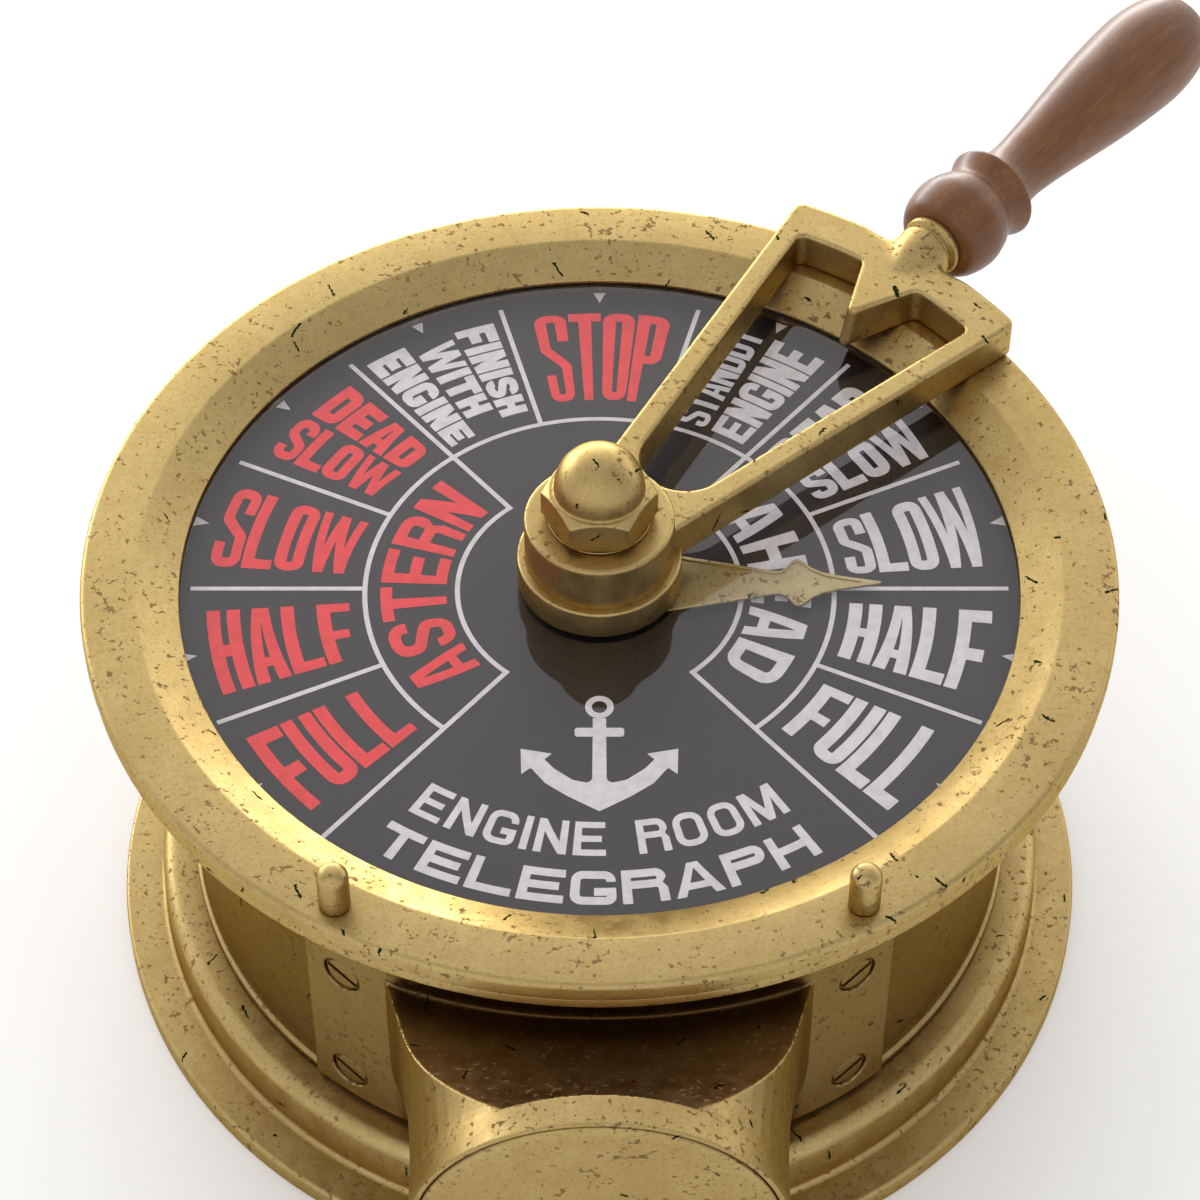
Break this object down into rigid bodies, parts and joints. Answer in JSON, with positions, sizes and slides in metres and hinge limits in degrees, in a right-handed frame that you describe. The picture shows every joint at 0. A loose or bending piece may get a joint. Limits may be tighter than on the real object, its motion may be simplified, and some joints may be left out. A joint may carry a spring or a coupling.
{
  "type": "ship engine telegraph head",
  "caption": "Brass ship's engine order telegraph head with a glazed dial, a forked order lever with a turned wooden grip, a reply pointer and a pedestal neck.",
  "frame": {"origin": "centre of the rear face, on the lever shaft's axis", "axes": "+Z out of the dial along the shaft, +Y towards twelve o'clock (STOP), +X towards three o'clock; the head lies on its back"},
  "size_m": [0.4421, 0.531, 0.2445],
  "materials": {
    "aged_brass": "satin, aged with small brown flecks and scratches",
    "bearing_bronze": "satin bronze",
    "bright_steel": "machined",
    "black_enamel": "semi-gloss black enamel with white and red lettering",
    "seal_rubber": "matt",
    "window_glass": "clear polished",
    "turned_wood": "varnished, fine straight grain"
  },
  "bodies": {
    "head": {"drum_casing": "aged_brass", "back_cover": "aged_brass", "cover_gasket": "seal_rubber", "cover_bolt_1": "bright_steel", "cover_bolt_2": "bright_steel", "cover_bolt_3": "bright_steel", "cover_bolt_4": "bright_steel", "front_bezel": "aged_brass", "bezel_screw_1": "bright_steel", "bezel_screw_2": "bright_steel", "bezel_screw_3": "bright_steel", "bezel_screw_4": "bright_steel", "dial_plate": "black_enamel", "dial_spacer": "aged_brass", "glass_gasket": "seal_rubber", "glass_pane": "window_glass", "glass_bush": "bearing_bronze", "stop_pin_1": "aged_brass", "stop_pin_2": "aged_brass", "neck_saddle": "aged_brass", "saddle_screw_1": "aged_brass", "saddle_screw_2": "aged_brass", "saddle_screw_3": "aged_brass", "saddle_screw_4": "aged_brass", "cap_gasket": "seal_rubber", "neck_cap": "aged_brass", "bearing_bridge": "aged_brass", "bridge_screw_1": "bright_steel", "bridge_screw_2": "bright_steel", "front_bush": "bearing_bronze", "rear_bush": "bearing_bronze", "gong": "bearing_bronze", "gong_post": "bright_steel", "gong_nut": "bright_steel", "hammer_post": "bright_steel", "hammer_spring": "bright_steel", "detent_post": "bright_steel"},
    "order_lever": {"lever_frame": "aged_brass", "lever_collar": "aged_brass", "hub_washer": "aged_brass", "acorn_nut": "aged_brass", "order_shaft": "bright_steel", "lever_key": "bright_steel", "handle_ferrule": "aged_brass", "handle_tang": "bright_steel", "wooden_grip": "turned_wood", "order_chain_wheel": "bright_steel", "detent_wheel": "bright_steel"},
    "reply": {"reply_pointer": "aged_brass", "reply_sleeve": "bright_steel", "sleeve_collar": "bright_steel", "reply_chain_wheel": "bright_steel", "gong_star_wheel": "bright_steel"},
    "gong_hammer": {"hammer_arm": "bright_steel", "hammer_tail": "bright_steel", "hammer_head": "bearing_bronze"},
    "detent": {"detent_arm": "bright_steel", "detent_roller": "bearing_bronze", "roller_pin": "bright_steel"}
  },
  "joints": [
    {"name": "order_lever_turn", "type": "hinge", "parent": "head", "child": "order_lever", "pos_m": [0, 0, 0], "axis": [0, 0, 1], "range_deg": [-91.5, 171.5]},
    {"name": "reply_pointer_turn", "type": "hinge", "parent": "head", "child": "reply", "pos_m": [0, 0, 0], "axis": [0, 0, 1], "range_deg": [-40, 220]},
    {"name": "gong_hammer_swing", "type": "hinge", "parent": "head", "child": "gong_hammer", "pos_m": [0.066, 0.03, 0], "axis": [0, 0, 1], "range_deg": [-10, 2], "stiffness_Nm_per_rad": 0.4},
    {"name": "detent_arm_lift", "type": "hinge", "parent": "head", "child": "detent", "pos_m": [-0.06, -0.035, 0], "axis": [0, 0, 1], "range_deg": [0, 6], "stiffness_Nm_per_rad": 2, "springref_deg": -5.73}
  ]
}
